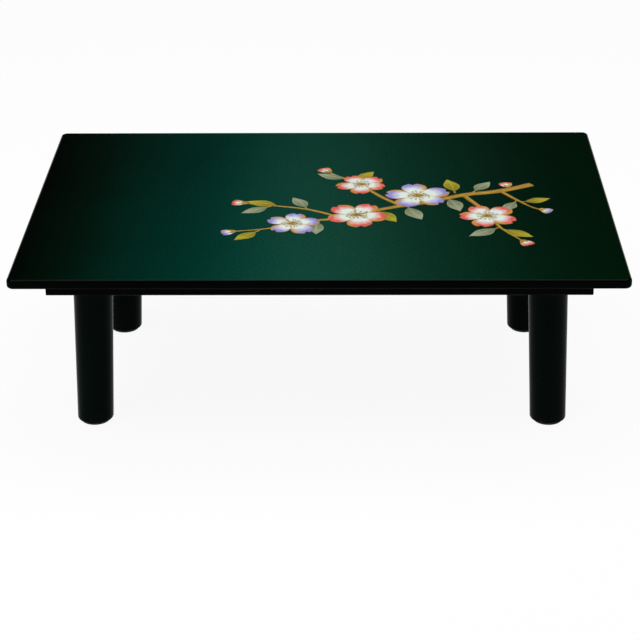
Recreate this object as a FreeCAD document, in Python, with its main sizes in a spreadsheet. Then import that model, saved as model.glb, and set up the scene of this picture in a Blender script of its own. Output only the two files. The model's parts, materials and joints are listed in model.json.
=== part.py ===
import FreeCAD, Part
import math
import os

import Sketcher

# Low lacquered reading table: a thin board on a shallow frame of rails, carried by four round legs.
# Each leg folds inward along the table's length on a riveted pin between the ears of a steel bracket,
# and a leaf spring screwed under the board props it while it stands open.
# Millimetres; X runs along the length, -Y is the front, Z is up and the floor is at zero.

DRIVING_SIZES = [
    # the table
    ("table_length", "600"),
    ("table_depth", "420"),
    ("table_height", "200"),
    ("board_thickness", "10"),
    ("board_corner_radius", "7"),
    ("board_edge_radius", "3"),
    # the frame of rails under the board
    ("rail_end_inset", "33"),
    ("rail_side_inset", "31"),
    ("rail_thickness", "14"),
    ("rail_height", "20"),
    ("rail_edge_radius", "1.5"),
    ("rail_screw_margin", "60"),
    # the legs, turned with some length to trim
    ("leg_diameter", "40"),
    ("leg_rail_gap", "4"),
    ("rear_leg_set_in", "8"),
    ("leg_lean", "2"),
    ("foot_diameter", "37"),
    ("foot_edge_radius", "3"),
    ("trim_allowance", "4"),
    ("tongue_width", "24"),
    ("pad_margin", "0.5"),
    ("pad_thickness", "2"),
    # room for the fold
    ("fold_gap", "4"),
    ("swing_clearance", "0.3"),
    ("rail_clearance", "0.5"),
    # the hinge bracket and its pin
    ("plate_length", "46"),
    ("plate_width", "60"),
    ("plate_thickness", "2"),
    ("plate_corner_radius", "6"),
    ("plate_screw_margin", "7"),
    ("plate_rail_gap", "23"),
    ("ear_radius", "12"),
    ("ear_thickness", "2"),
    ("ear_clearance", "0.2"),
    ("ear_root_radius", "1.5"),
    ("shoulder_clearance", "1.5"),
    ("pin_diameter", "6"),
    ("pin_clearance", "0.05"),
    ("pin_head_diameter", "10"),
    ("pin_head_height", "2.2"),
    ("pin_tail_diameter", "9"),
    ("pin_tail_height", "1.8"),
    ("pin_rim_radius", "1.4"),
    # the leaf spring that props an open leg
    ("spring_thickness", "0.8"),
    ("spring_width", "16"),
    ("spring_run", "61"),
    ("spring_bend_radius", "6"),
    ("spring_seat_length", "28"),
    ("spring_tip_drop", "8"),
    ("spring_tip_clearance", "0.3"),
    ("spring_screw_margin", "7"),
    ("spring_corner_radius", "3"),
    # the wood screws
    ("screw_diameter", "3.5"),
    ("screw_head_diameter", "7"),
    ("screw_bite", "7"),
    ("screw_clearance", "0.1"),
    ("button_screw_diameter", "3"),
    ("button_head_diameter", "6"),
    ("button_head_height", "2"),
]

CORNERS = {
    "front_left": (-1, -1),
    "front_right": (1, -1),
    "rear_left": (-1, 1),
    "rear_right": (1, 1),
}

# Formulas on the sheet that several pieces share
BOARD_UNDERSIDE = "(Sizes.table_height - Sizes.board_thickness)"
PIVOT_DROP = "(Sizes.leg_diameter / 2 + Sizes.fold_gap)"
PIVOT_HEIGHT = f"({BOARD_UNDERSIDE} - {PIVOT_DROP})"
RAIL_TO_PIVOT = "(Sizes.leg_diameter / 2 + Sizes.leg_rail_gap)"
PIVOT_X = f"(Sizes.table_length / 2 - Sizes.rail_end_inset - Sizes.rail_thickness - {RAIL_TO_PIVOT})"
SIDE_TO_PIVOT = "(Sizes.plate_width / 2 + Sizes.plate_rail_gap)"
PIVOT_Y = f"(Sizes.table_depth / 2 - Sizes.rail_side_inset - Sizes.rail_thickness - {SIDE_TO_PIVOT})"
PLATE_UNDERSIDE = f"({PIVOT_DROP} - Sizes.plate_thickness)"
LEG_TOP = f"({PLATE_UNDERSIDE} - Sizes.swing_clearance)"
OUTER_SWING = f"({RAIL_TO_PIVOT} - Sizes.rail_clearance)"
SHOULDER_DROP = "(Sizes.ear_radius + Sizes.shoulder_clearance)"
FOOT_DROP = f"({PIVOT_HEIGHT} - Sizes.pad_thickness)"
PAD_DIAMETER = "(Sizes.foot_diameter - 2 * Sizes.foot_edge_radius - 2 * Sizes.pad_margin)"
EAR_INSIDE = "(Sizes.tongue_width / 2 + Sizes.ear_clearance)"
EAR_OUTSIDE = f"({EAR_INSIDE} + Sizes.ear_thickness)"
BEYOND_LEG = "(2 * Sizes.leg_diameter)"
SPRING_BEND = "(Sizes.plate_length / 2 + Sizes.spring_run)"
LONG_RAIL = "(Sizes.table_length - 2 * Sizes.rail_end_inset)"
SHORT_RAIL = "(Sizes.table_depth - 2 * Sizes.rail_side_inset - 2 * Sizes.rail_thickness)"
LONG_RAIL_Y = "(Sizes.table_depth / 2 - Sizes.rail_side_inset - Sizes.rail_thickness / 2)"
SHORT_RAIL_X = "(Sizes.table_length / 2 - Sizes.rail_end_inset - Sizes.rail_thickness / 2)"
SCREW_BORE = "(Sizes.screw_diameter + 2 * Sizes.screw_clearance)"
SCREW_SINK = "(Sizes.screw_head_diameter + 2 * Sizes.screw_clearance)"
BUTTON_BORE = "(Sizes.button_screw_diameter + 2 * Sizes.screw_clearance)"
PIN_BORE = "(Sizes.pin_diameter + 2 * Sizes.pin_clearance)"
SINK_ANGLE = 90

doc = FreeCAD.newDocument("SutraTable")
sheet = doc.addObject("Spreadsheet::Sheet", "Sizes")
for row, (alias, amount) in enumerate(DRIVING_SIZES, start=1):
    sheet.set(f"A{row}", alias)
    sheet.set(f"B{row}", amount)
    sheet.setAlias(f"B{row}", alias)
doc.recompute()


def value(formula):
    """The number that a formula on the sheet gives now."""
    return float(sheet.evalExpression(formula))


def pivot_x(side_y):
    """How far a pivot stands from the table's middle; the rear legs are set a little further in."""
    return f"({PIVOT_X} - Sizes.rear_leg_set_in)" if side_y > 0 else PIVOT_X


# Sketching

def new_body(label):
    return doc.addObject("PartDesign::Body", label)


def add_sketch(body, name, plane, height=None):
    """A sketch on one of the body's own planes, raised along the plane's normal by a formula."""
    sketch = body.newObject("Sketcher::SketchObject", name)
    support = [feature for feature in body.Origin.OriginFeatures if feature.Role == plane]
    sketch.AttachmentSupport = [(support[0], "")]
    sketch.MapMode = "FlatFace"
    if height:
        sketch.setExpression("AttachmentOffset.Base.z", height)
    return sketch


def bind(sketch, constraint, formula):
    index = sketch.addConstraint(constraint)
    sketch.setExpression(f"Constraints[{index}]", formula)


def place_point(sketch, curve, end, x, y):
    """Ties a point of a curve to the sketch's origin; each coordinate is a formula, or None if free."""
    if x is not None:
        bind(sketch, Sketcher.Constraint("DistanceX", -1, 1, curve, end, value(x)), x)
    if y is not None:
        bind(sketch, Sketcher.Constraint("DistanceY", -1, 1, curve, end, value(y)), y)


def add_line(sketch, start, end):
    first = FreeCAD.Vector(value(start[0]), value(start[1]), 0)
    last = FreeCAD.Vector(value(end[0]), value(end[1]), 0)
    return sketch.addGeometry(Part.LineSegment(first, last), False)


def add_run(sketch, corners):
    """Straight lines from each corner to the next, in order."""
    return [add_line(sketch, start, end) for start, end in zip(corners, corners[1:])]


def join_ends(sketch, curves):
    """Closes an outline: each curve ends where the next one starts."""
    for curve, following in zip(curves, curves[1:] + curves[:1]):
        sketch.addConstraint(Sketcher.Constraint("Coincident", curve, 2, following, 1))


def add_polygon(sketch, corners):
    """A closed outline of straight lines through corners given as formulas."""
    lines = add_run(sketch, corners + corners[:1])
    join_ends(sketch, lines)
    for line, (x, y) in zip(lines, corners):
        place_point(sketch, line, 1, x, y)


def add_rectangle(sketch, left, right, low, high):
    add_polygon(sketch, [(left, low), (right, low), (right, high), (left, high)])


def add_circle(sketch, x, y, diameter):
    centre = FreeCAD.Vector(value(x), value(y), 0)
    circle = Part.Circle(centre, FreeCAD.Vector(0, 0, 1), value(diameter) / 2)
    curve = sketch.addGeometry(circle, False)
    bind(sketch, Sketcher.Constraint("Diameter", curve, value(diameter)), diameter)
    place_point(sketch, curve, 3, x, y)


def add_pivot_arc(sketch, radius, start_angle, end_angle):
    """An arc round the sketch's origin, counter-clockwise between two angles in degrees."""
    circle = Part.Circle(FreeCAD.Vector(), FreeCAD.Vector(0, 0, 1), value(radius))
    arc = Part.ArcOfCircle(circle, math.radians(start_angle), math.radians(end_angle))
    curve = sketch.addGeometry(arc, False)
    sketch.addConstraint(Sketcher.Constraint("Coincident", curve, 3, -1, 1))
    bind(sketch, Sketcher.Constraint("Radius", curve, value(radius)), radius)
    return curve


# Features

def add_pad(body, name, sketch, length, both_ways=False):
    pad = body.newObject("PartDesign::Pad", name)
    pad.Profile = sketch
    pad.setExpression("Length", length)
    pad.Midplane = both_ways
    return pad


def cut_through(body, name, sketch):
    """A pocket through the whole body, both ways from its sketch."""
    pocket = body.newObject("PartDesign::Pocket", name)
    pocket.Profile = sketch
    pocket.Midplane = True
    pocket.Type = "ThroughAll"
    return pocket


def cut_upward(body, name, sketch, depth):
    """A blind pocket that rises from a level sketch."""
    pocket = body.newObject("PartDesign::Pocket", name)
    pocket.Profile = sketch
    pocket.Reversed = True
    pocket.setExpression("Length", depth)
    return pocket


def turn(body, name, sketch, axis):
    revolution = body.newObject("PartDesign::Revolution", name)
    revolution.Profile = sketch
    revolution.ReferenceAxis = (sketch, [axis])
    revolution.Angle = 360
    return revolution


def round_edges(body, name, base, wanted, radius):
    """Rounds those edges of the base feature that a test picks by their place."""
    doc.recompute()
    picked = [f"Edge{n}" for n, edge in enumerate(base.Shape.Edges, start=1) if wanted(edge)]
    fillet = body.newObject("PartDesign::Fillet", name)
    fillet.Base = (base, picked)
    fillet.setExpression("Radius", radius)
    return fillet


def round_across(body, name, base, reach, radius):
    """Rounds the one edge that crosses a strip at a given reach along X."""
    def crosses_there(edge):
        box = edge.BoundBox
        level = box.XLength < NEGLIGIBLE and box.ZLength < NEGLIGIBLE
        return level and abs(box.XMax - reach) < NEGLIGIBLE

    return round_edges(body, name, base, crosses_there, radius)


def cut_countersunk_holes(body, name, height, spots):
    """Screw holes that rise from a level face, each with a conical seat for the head."""
    sketch = add_sketch(body, f"{name}_centres", "XY_Plane", height)
    for x, y in spots:
        add_circle(sketch, x, y, SCREW_BORE)
    doc.recompute()
    hole = body.newObject("PartDesign::Hole", name)
    hole.Profile = sketch
    hole.Reversed = True
    hole.ThreadType = "None"
    hole.DepthType = "ThroughAll"
    hole.HoleCutType = "Countersink"
    hole.HoleCutCustomValues = True
    hole.HoleCutCountersinkAngle = SINK_ANGLE
    hole.setExpression("Diameter", SCREW_BORE)
    hole.setExpression("HoleCutDiameter", SCREW_SINK)
    return hole


def put(piece, x, y, z, turned=False):
    """Places a piece by formulas, turned half round about the vertical where asked."""
    angle = 180 if turned else 0
    piece.Placement = FreeCAD.Placement(FreeCAD.Vector(), FreeCAD.Rotation(FreeCAD.Vector(0, 0, 1), angle))
    piece.setExpression("Placement.Base.x", x)
    piece.setExpression("Placement.Base.y", y)
    piece.setExpression("Placement.Base.z", z)


# Tests that pick edges

NEGLIGIBLE = 1e-6


def is_upright(edge):
    box = edge.BoundBox
    return box.XLength < NEGLIGIBLE and box.YLength < NEGLIGIBLE


def is_level(edge):
    return edge.BoundBox.ZLength < NEGLIGIBLE


# Where the screws go

def hinge_screw_spots():
    """The four screw places of a bracket plate, measured from its pivot."""
    reach_x = "(Sizes.plate_length / 2 - Sizes.plate_screw_margin)"
    reach_y = "(Sizes.plate_width / 2 - Sizes.plate_screw_margin)"
    return [(f"{i} * {reach_x}", f"{j} * {reach_y}") for i in (-1, 1) for j in (-1, 1)]


def spring_screw_spots():
    """The two screw places on a leaf spring's seat, measured from the pivot toward the table's middle."""
    near = f"({SPRING_BEND} + Sizes.spring_screw_margin)"
    far = f"({SPRING_BEND} + Sizes.spring_seat_length - Sizes.spring_screw_margin)"
    return [(near, "0"), (far, "0")]


def at_each_corner(spots):
    """Places measured from a pivot, carried to all four corners of the table."""
    carried = []
    for side_x, side_y in CORNERS.values():
        for x, y in spots:
            carried.append((f"{side_x} * ({pivot_x(side_y)} - {x})", f"{side_y} * {PIVOT_Y} + {y}"))
    return carried


def long_rail_spots():
    reach = f"({LONG_RAIL} / 2 - Sizes.rail_screw_margin)"
    return [(f"{share} * {reach}", "0") for share in ("-1", "-1 / 3", "1 / 3", "1")]


def short_rail_spots():
    reach = f"({SHORT_RAIL} / 2 - Sizes.rail_screw_margin)"
    return [("0", f"{share} * {reach}") for share in ("-1", "1")]


def rail_screw_spots():
    """All rail screws, measured from the table's middle."""
    along = [(x, f"{side} * {LONG_RAIL_Y}") for side in (-1, 1) for x, _ in long_rail_spots()]
    across = [(f"{side} * {SHORT_RAIL_X}", y) for side in (-1, 1) for _, y in short_rail_spots()]
    return along + across


# The board and its rails

def make_top_board():
    body = new_body("top_board")
    half_length = "Sizes.table_length / 2"
    half_depth = "Sizes.table_depth / 2"
    outline = add_sketch(body, "board_outline", "XY_Plane")
    add_rectangle(outline, f"-{half_length}", half_length, f"-{half_depth}", half_depth)
    slab = add_pad(body, "board_slab", outline, "Sizes.board_thickness")
    corners = round_edges(body, "board_corners", slab, is_upright, "Sizes.board_corner_radius")
    round_edges(body, "board_edges", corners, is_level, "Sizes.board_edge_radius")
    pilots = add_sketch(body, "screw_pilots_outline", "XY_Plane")
    for x, y in at_each_corner(hinge_screw_spots()) + rail_screw_spots():
        add_circle(pilots, x, y, SCREW_BORE)
    for x, y in at_each_corner(spring_screw_spots()):
        add_circle(pilots, x, y, BUTTON_BORE)
    cut_upward(body, "screw_pilots", pilots, "Sizes.screw_bite + Sizes.screw_clearance")
    put(body, "0", "0", BOARD_UNDERSIDE)
    return body


def make_rail(label, length, depth, x, y, screw_spots):
    """A rail whose top lies under the board, with its lower edges eased and its screw holes sunk."""
    body = new_body(label)
    outline = add_sketch(body, f"{label}_outline", "XY_Plane")
    add_rectangle(outline, f"-{length} / 2", f"{length} / 2", f"-{depth} / 2", f"{depth} / 2")
    bar = add_pad(body, f"{label}_bar", outline, "Sizes.rail_height")
    round_edges(
        body,
        f"{label}_edges",
        bar,
        lambda edge: is_level(edge) and edge.BoundBox.ZMax < NEGLIGIBLE,
        "Sizes.rail_edge_radius",
    )
    cut_countersunk_holes(body, f"{label}_holes", None, screw_spots)
    put(body, x, y, f"{BOARD_UNDERSIDE} - Sizes.rail_height")
    return body


def make_rails():
    thick = "Sizes.rail_thickness"
    return [
        make_rail("front_rail", LONG_RAIL, thick, "0", f"-{LONG_RAIL_Y}", long_rail_spots()),
        make_rail("rear_rail", LONG_RAIL, thick, "0", LONG_RAIL_Y, long_rail_spots()),
        make_rail("left_rail", thick, SHORT_RAIL, f"-{SHORT_RAIL_X}", "0", short_rail_spots()),
        make_rail("right_rail", thick, SHORT_RAIL, SHORT_RAIL_X, "0", short_rail_spots()),
    ]


# The folding legs: every piece here is drawn round its own pivot, with +X toward the table's middle

def add_leg_turning(body):
    """The turned leg, tapered below its shoulders and leaning outward at the foot."""
    profile = add_sketch(body, "leg_profile", "XZ_Plane")
    outward = FreeCAD.Rotation(FreeCAD.Vector(0, 0, -1), value("Sizes.leg_lean"))
    profile.AttachmentOffset = FreeCAD.Placement(FreeCAD.Vector(), outward)
    profile.setExpression("AttachmentOffset.Rotation.Angle", "Sizes.leg_lean")
    spare = "Sizes.trim_allowance"
    add_polygon(profile, [
        ("0", f"{LEG_TOP} + {spare}"),
        ("0", f"-{FOOT_DROP} - {spare}"),
        ("Sizes.foot_diameter / 2", f"-{FOOT_DROP} - {spare}"),
        ("Sizes.foot_diameter / 2", f"-{FOOT_DROP}"),
        ("Sizes.leg_diameter / 2", f"-{SHOULDER_DROP}"),
        ("Sizes.leg_diameter / 2", f"{LEG_TOP} + {spare}"),
    ])
    return turn(body, "leg_turning", profile, "V_Axis")


def add_swing_top(body):
    """Trims the leg's top: a level seat, rounded inward and outward so that it swings clear."""
    outline = add_sketch(body, "swing_outline", "XZ_Plane")
    seat_end = f"-sqrt({OUTER_SWING} ^ 2 - {LEG_TOP} ^ 2)"
    seat_angle = value(f"180 - asin({LEG_TOP} / {OUTER_SWING}) / 1 deg")
    inner = add_pivot_arc(outline, LEG_TOP, 0, 90)
    outer = add_pivot_arc(outline, OUTER_SWING, seat_angle, 180)
    seat = add_line(outline, ("0", LEG_TOP), (seat_end, LEG_TOP))
    corners = [
        (f"-{OUTER_SWING}", "0"),
        (f"-{BEYOND_LEG}", "0"),
        (f"-{BEYOND_LEG}", BEYOND_LEG),
        (BEYOND_LEG, BEYOND_LEG),
        (BEYOND_LEG, "0"),
        (LEG_TOP, "0"),
    ]
    lines = add_run(outline, corners)
    join_ends(outline, [inner, seat, outer] + lines)
    place_point(outline, inner, 2, "0", None)
    place_point(outline, seat, 2, None, LEG_TOP)
    place_point(outline, lines[0], 1, None, "0")
    for line, (x, y) in zip(lines[1:], corners[1:-1]):
        place_point(outline, line, 1, x, y)
    place_point(outline, lines[-1], 2, None, "0")
    return cut_through(body, "swing_top", outline)


def make_leg(corner, side_x, side_y):
    body = new_body(f"{corner}_leg")
    add_leg_turning(body)
    add_swing_top(body)
    foot = add_sketch(body, "foot_outline", "XZ_Plane")
    add_rectangle(foot, f"-{BEYOND_LEG}", BEYOND_LEG, f"-{FOOT_DROP} - {BEYOND_LEG}", f"-{FOOT_DROP}")
    foot_cut = cut_through(body, "foot_cut", foot)
    foot_level = -value(FOOT_DROP)
    round_edges(
        body,
        "foot_edge",
        foot_cut,
        lambda edge: is_level(edge) and abs(edge.BoundBox.ZMax - foot_level) < NEGLIGIBLE,
        "Sizes.foot_edge_radius",
    )
    cheeks = add_sketch(body, "cheeks_outline", "YZ_Plane")
    half = "Sizes.tongue_width / 2"
    add_rectangle(cheeks, half, BEYOND_LEG, f"-{SHOULDER_DROP}", BEYOND_LEG)
    add_rectangle(cheeks, f"-{BEYOND_LEG}", f"-{half}", f"-{SHOULDER_DROP}", BEYOND_LEG)
    cut_through(body, "cheeks", cheeks)
    bore = add_sketch(body, "pin_bore_outline", "XZ_Plane")
    add_circle(bore, "0", "0", PIN_BORE)
    cut_through(body, "pin_bore", bore)
    put(body, f"{side_x} * {pivot_x(side_y)}", f"{side_y} * {PIVOT_Y}", PIVOT_HEIGHT, turned=side_x > 0)
    return body


def make_foot_pad(corner, side_x, side_y):
    """A felt disc under the foot, where the leaning leg meets the floor."""
    body = new_body(f"{corner}_foot_pad")
    outline = add_sketch(body, "pad_outline", "XY_Plane")
    add_circle(outline, "0", "0", PAD_DIAMETER)
    add_pad(body, "pad_disc", outline, "Sizes.pad_thickness")
    foot_x = f"({pivot_x(side_y)} + {FOOT_DROP} * tan(Sizes.leg_lean))"
    put(body, f"{side_x} * {foot_x}", f"{side_y} * {PIVOT_Y}", "0")
    return body


def make_hinge_bracket(corner, side_x, side_y):
    """A steel plate under the board with two ears that straddle the leg's tongue."""
    body = new_body(f"{corner}_hinge_bracket")
    plate_outline = add_sketch(body, "plate_outline", "XY_Plane", PLATE_UNDERSIDE)
    half_length = "Sizes.plate_length / 2"
    half_width = "Sizes.plate_width / 2"
    add_rectangle(plate_outline, f"-{half_length}", half_length, f"-{half_width}", half_width)
    plate = add_pad(body, "plate", plate_outline, "Sizes.plate_thickness")
    round_edges(body, "plate_corners", plate, is_upright, "Sizes.plate_corner_radius")
    ear_outline = add_sketch(body, "ear_outline", "XZ_Plane")
    reach = "Sizes.ear_radius"
    tip = add_pivot_arc(ear_outline, reach, 180, 360)
    corners = [(reach, "0"), (reach, PLATE_UNDERSIDE), (f"-{reach}", PLATE_UNDERSIDE), (f"-{reach}", "0")]
    lines = add_run(ear_outline, corners)
    join_ends(ear_outline, [tip] + lines)
    place_point(ear_outline, lines[0], 1, None, "0")
    place_point(ear_outline, lines[1], 1, *corners[1])
    place_point(ear_outline, lines[2], 1, *corners[2])
    place_point(ear_outline, lines[2], 2, None, "0")
    add_pad(body, "ears_block", ear_outline, f"2 * {EAR_OUTSIDE}", both_ways=True)
    gap = add_sketch(body, "ear_gap_outline", "YZ_Plane")
    add_rectangle(gap, f"-{EAR_INSIDE}", EAR_INSIDE, f"-2 * {reach}", PLATE_UNDERSIDE)
    ears = cut_through(body, "ear_gap", gap)
    root_height = value(PLATE_UNDERSIDE)
    root_reach = value(EAR_OUTSIDE)
    round_edges(
        body,
        "ear_roots",
        ears,
        lambda edge: is_level(edge)
        and abs(edge.BoundBox.ZMax - root_height) < NEGLIGIBLE
        and edge.BoundBox.YLength < NEGLIGIBLE
        and abs(abs(edge.BoundBox.YMax) - root_reach) < NEGLIGIBLE,
        "Sizes.ear_root_radius",
    )
    bore = add_sketch(body, "pin_holes_outline", "XZ_Plane")
    add_circle(bore, "0", "0", PIN_BORE)
    cut_through(body, "pin_holes", bore)
    cut_countersunk_holes(body, "plate_holes", PLATE_UNDERSIDE, hinge_screw_spots())
    put(body, f"{side_x} * {pivot_x(side_y)}", f"{side_y} * {PIVOT_Y}", PIVOT_HEIGHT, turned=side_x > 0)
    return body


def make_hinge_pin(corner, side_x, side_y):
    """A rivet through both ears and the tongue, its domed head toward the table's long edge."""
    body = new_body(f"{corner}_hinge_pin")
    profile = add_sketch(body, "pin_profile", "YZ_Plane")
    seat = f"({EAR_OUTSIDE} + Sizes.pin_clearance)"
    shank = "Sizes.pin_diameter / 2"
    head = "Sizes.pin_head_diameter / 2"
    tail = "Sizes.pin_tail_diameter / 2"
    head_crown = f"-{seat} - Sizes.pin_head_height"
    tail_crown = f"{seat} + Sizes.pin_tail_height"
    add_polygon(profile, [
        (head_crown, "0"),
        (head_crown, head),
        (f"-{seat}", head),
        (f"-{seat}", shank),
        (seat, shank),
        (seat, tail),
        (tail_crown, tail),
        (tail_crown, "0"),
    ])
    pin = turn(body, "pin_turning", profile, "H_Axis")
    crowns = (value(head_crown), value(tail_crown))
    round_edges(
        body,
        "pin_rims",
        pin,
        lambda edge: min(abs(edge.BoundBox.Center.y - crown) for crown in crowns) < NEGLIGIBLE
        and edge.BoundBox.YLength < NEGLIGIBLE,
        "Sizes.pin_rim_radius",
    )
    put(body, f"{side_x} * {pivot_x(side_y)}", f"{side_y} * {PIVOT_Y}", PIVOT_HEIGHT, turned=side_y > 0)
    return body


def make_lock_spring(corner, side_x, side_y):
    """A bent strip: its seat lies under the board and its hollowed tip props the open leg."""
    body = new_body(f"{corner}_lock_spring")
    profile = add_sketch(body, "spring_profile", "XZ_Plane")
    thick = "Sizes.spring_thickness"
    far = f"({SPRING_BEND} + Sizes.spring_seat_length)"
    tip = "(Sizes.leg_diameter / 2 - Sizes.spring_thickness)"
    tip_top = "(-Sizes.spring_tip_drop)"
    slope = f"atan(({PIVOT_DROP} - {tip_top}) / ({SPRING_BEND} - {tip}))"
    inner_bend = f"{SPRING_BEND} + {thick} * tan({slope} / 2)"
    add_polygon(profile, [
        (far, PIVOT_DROP),
        (SPRING_BEND, PIVOT_DROP),
        (tip, tip_top),
        (tip, f"{tip_top} - {thick} / cos({slope})"),
        (inner_bend, f"{PIVOT_DROP} - {thick}"),
        (far, f"{PIVOT_DROP} - {thick}"),
    ])
    strip = add_pad(body, "strip", profile, "Sizes.spring_width", both_ways=True)
    outer_radius = f"Sizes.spring_bend_radius + {thick}"
    outside = round_across(body, "bend_outside", strip, value(SPRING_BEND), outer_radius)
    bent = round_across(body, "bend_inside", outside, value(inner_bend), "Sizes.spring_bend_radius")
    far_reach = value(far)
    round_edges(
        body,
        "strip_corners",
        bent,
        lambda edge: is_upright(edge) and abs(edge.BoundBox.XMax - far_reach) < NEGLIGIBLE,
        "Sizes.spring_corner_radius",
    )
    hollow = add_sketch(body, "tip_hollow_outline", "XY_Plane")
    add_circle(hollow, "0", "0", "Sizes.leg_diameter + 2 * Sizes.spring_tip_clearance")
    cut_through(body, "tip_hollow", hollow)
    holes = add_sketch(body, "spring_holes_outline", "XY_Plane")
    for x, y in spring_screw_spots():
        add_circle(holes, x, y, BUTTON_BORE)
    cut_through(body, "spring_holes", holes)
    put(body, f"{side_x} * {pivot_x(side_y)}", f"{side_y} * {PIVOT_Y}", PIVOT_HEIGHT, turned=side_x > 0)
    return body


# The screws: one of each kind is turned, and its copies make a group

def turn_screw(label, corners):
    body = new_body(label)
    profile = add_sketch(body, f"{label}_profile", "XZ_Plane")
    add_polygon(profile, corners)
    turn(body, f"{label}_turning", profile, "V_Axis")
    return body


def countersunk_screw(label, passes):
    """A wood screw standing point up, its flat head at zero, that passes a thickness before the board."""
    head = "Sizes.screw_head_diameter / 2"
    shank = "Sizes.screw_diameter / 2"
    length = f"({passes} + Sizes.screw_bite)"
    return turn_screw(label, [
        ("0", "0"),
        (head, "0"),
        (shank, f"{head} - {shank}"),
        (shank, f"{length} - Sizes.screw_diameter"),
        ("0", length),
    ])


def button_screw(label, passes):
    """A round-head wood screw standing point up, the underside of its head at zero."""
    head = "Sizes.button_head_diameter / 2"
    shank = "Sizes.button_screw_diameter / 2"
    length = f"({passes} + Sizes.screw_bite)"
    return turn_screw(label, [
        ("0", "-Sizes.button_head_height"),
        (shank, "-Sizes.button_head_height"),
        (head, "-Sizes.button_head_height / 2"),
        (head, "0"),
        (shank, "0"),
        (shank, f"{length} - Sizes.button_screw_diameter"),
        ("0", length),
    ])


def group_screws(label, screw, spots, height):
    """Separate copies of one screw at places on the table, kept together as one group."""
    doc.recompute()
    copies = []
    for x, y in spots:
        copies.append(screw.Shape.translated(FreeCAD.Vector(value(x), value(y), value(height))))
    group = doc.addObject("Part::Feature", label)
    group.Shape = Part.makeCompound(copies)
    group.Placement = FreeCAD.Placement()
    return group


def make_screws():
    hinge_screw = countersunk_screw("hinge_screw", "Sizes.plate_thickness")
    rail_screw = countersunk_screw("rail_screw", "Sizes.rail_height")
    spring_screw = button_screw("spring_screw", "Sizes.spring_thickness")
    plate_face = f"{BOARD_UNDERSIDE} - Sizes.plate_thickness"
    rail_face = f"{BOARD_UNDERSIDE} - Sizes.rail_height"
    spring_face = f"{BOARD_UNDERSIDE} - Sizes.spring_thickness"
    return [
        group_screws("hinge_screws", hinge_screw, at_each_corner(hinge_screw_spots()), plate_face),
        group_screws("rail_screws", rail_screw, rail_screw_spots(), rail_face),
        group_screws("spring_screws", spring_screw, at_each_corner(spring_screw_spots()), spring_face),
    ]


# Checks before anything is written

def check_cuts():
    """Every cut has to take something away from the feature it starts from."""
    for feature in doc.Objects:
        if feature.TypeId in ("PartDesign::Pocket", "PartDesign::Hole"):
            removed = feature.BaseFeature.Shape.Volume - feature.Shape.Volume
            if removed < NEGLIGIBLE:
                raise RuntimeError(f"{feature.Label} cuts nothing")


def check_states():
    for thing in doc.Objects:
        if "Invalid" in thing.State or "Error" in thing.State:
            raise RuntimeError(f"{thing.Label} failed: {thing.State}")


def check_shapes(pieces):
    for piece in pieces:
        if piece.Shape.isNull() or not piece.Shape.isValid():
            raise RuntimeError(f"{piece.Label} has no valid shape")


def main():
    pieces = [make_top_board()]
    pieces += make_rails()
    for corner, (side_x, side_y) in CORNERS.items():
        for make in (make_leg, make_foot_pad, make_hinge_bracket, make_hinge_pin, make_lock_spring):
            pieces.append(make(corner, side_x, side_y))
    pieces += make_screws()
    doc.recompute()
    check_states()
    check_cuts()
    check_shapes(pieces)
    os.makedirs("parts", exist_ok=True)
    for piece in pieces:
        piece.Shape.exportStep(f"parts/{piece.Label}.step")
        print(piece.Label, len(piece.Shape.Solids), round(piece.Shape.Volume, 1))


main()
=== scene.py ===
import json
import math
import random

import bmesh
import bpy
from mathutils import Matrix, Vector


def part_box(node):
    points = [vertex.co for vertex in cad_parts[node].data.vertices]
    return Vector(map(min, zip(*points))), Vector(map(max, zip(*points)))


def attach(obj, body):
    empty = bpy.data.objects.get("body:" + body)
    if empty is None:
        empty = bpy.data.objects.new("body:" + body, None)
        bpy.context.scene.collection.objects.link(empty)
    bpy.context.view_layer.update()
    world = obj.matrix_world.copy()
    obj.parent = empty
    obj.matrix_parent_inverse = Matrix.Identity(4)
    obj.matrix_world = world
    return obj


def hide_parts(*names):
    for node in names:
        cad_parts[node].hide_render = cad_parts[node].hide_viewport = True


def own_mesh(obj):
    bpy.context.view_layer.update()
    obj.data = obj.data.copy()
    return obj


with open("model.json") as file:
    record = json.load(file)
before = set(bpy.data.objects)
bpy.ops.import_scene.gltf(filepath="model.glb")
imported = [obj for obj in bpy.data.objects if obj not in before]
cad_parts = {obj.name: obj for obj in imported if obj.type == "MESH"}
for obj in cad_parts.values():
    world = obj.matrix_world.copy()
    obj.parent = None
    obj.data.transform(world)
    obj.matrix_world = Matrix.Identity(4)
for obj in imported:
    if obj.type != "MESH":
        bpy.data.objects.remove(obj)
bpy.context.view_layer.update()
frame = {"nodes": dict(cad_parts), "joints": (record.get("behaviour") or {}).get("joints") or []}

# A low lacquered sutra table whose round legs fold inward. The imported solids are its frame. This script
# gives them their finishes and adds the raised lacquer picture, leaf springs, screws and felt discs.
# Metres; X runs along the length, -Y is the front and Z is up.

scene = bpy.context.scene
scene.view_settings.view_transform = "Standard"

MM = 0.001
NEAR = 1e-6
SIDES = {"front_left": -1, "front_right": 1, "rear_left": -1, "rear_right": 1}
RAILS = ("front_rail", "rear_rail", "left_rail", "right_rail")
PIVOTS = {joint["name"].removesuffix("_fold"): Vector(joint["pos_m"]) for joint in frame["joints"]}
BOARD_LOW, BOARD_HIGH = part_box("top_board")
BOARD_TOP = BOARD_HIGH.z
BOARD_UNDERSIDE = BOARD_LOW.z
RAIL_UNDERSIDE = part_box("front_rail")[0].z


# Node wiring, for finishes and room alike

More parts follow.
